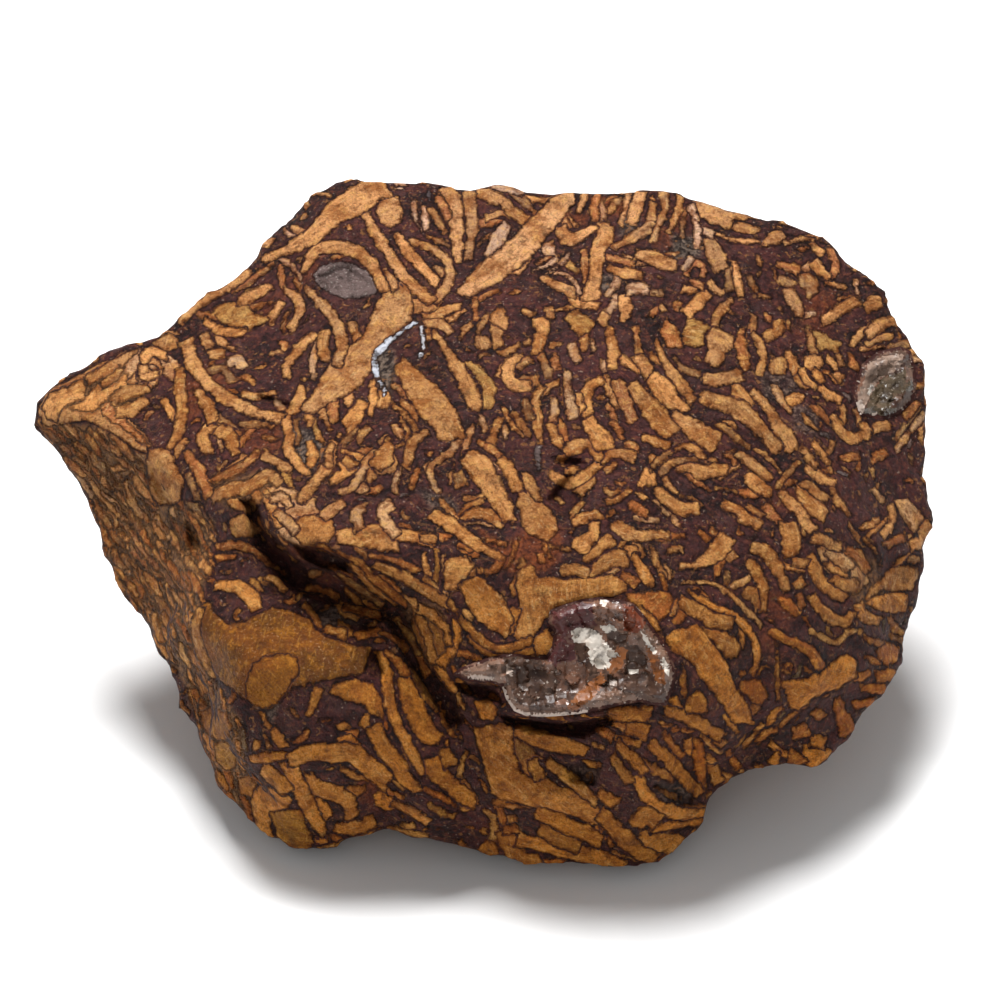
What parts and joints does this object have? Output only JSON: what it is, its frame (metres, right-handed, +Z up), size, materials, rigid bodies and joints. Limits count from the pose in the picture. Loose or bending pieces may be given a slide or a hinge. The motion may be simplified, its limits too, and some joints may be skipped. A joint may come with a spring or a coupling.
{
  "type": "habur stone",
  "caption": "Rough broken lump of brown-red rock full of ochre shell pieces, with two glassy quartz crusts, resting on a small flat spot.",
  "frame": {"origin": "on the ground under the middle of the stone's box", "axes": "+X along the length, from the pointed end to the round end; +Z up; -Y towards the side that shows"},
  "size_m": [0.0606, 0.0424, 0.0293],
  "materials": {
    "rock": "rough broken faces, brown-red with ochre shell pieces",
    "quartz": "glassy, see-through, with white rims"
  },
  "bodies": {
    "root": {"stone": "rock", "quartz_druse": "quartz", "quartz_pocket": "quartz"}
  },
  "joints": []
}
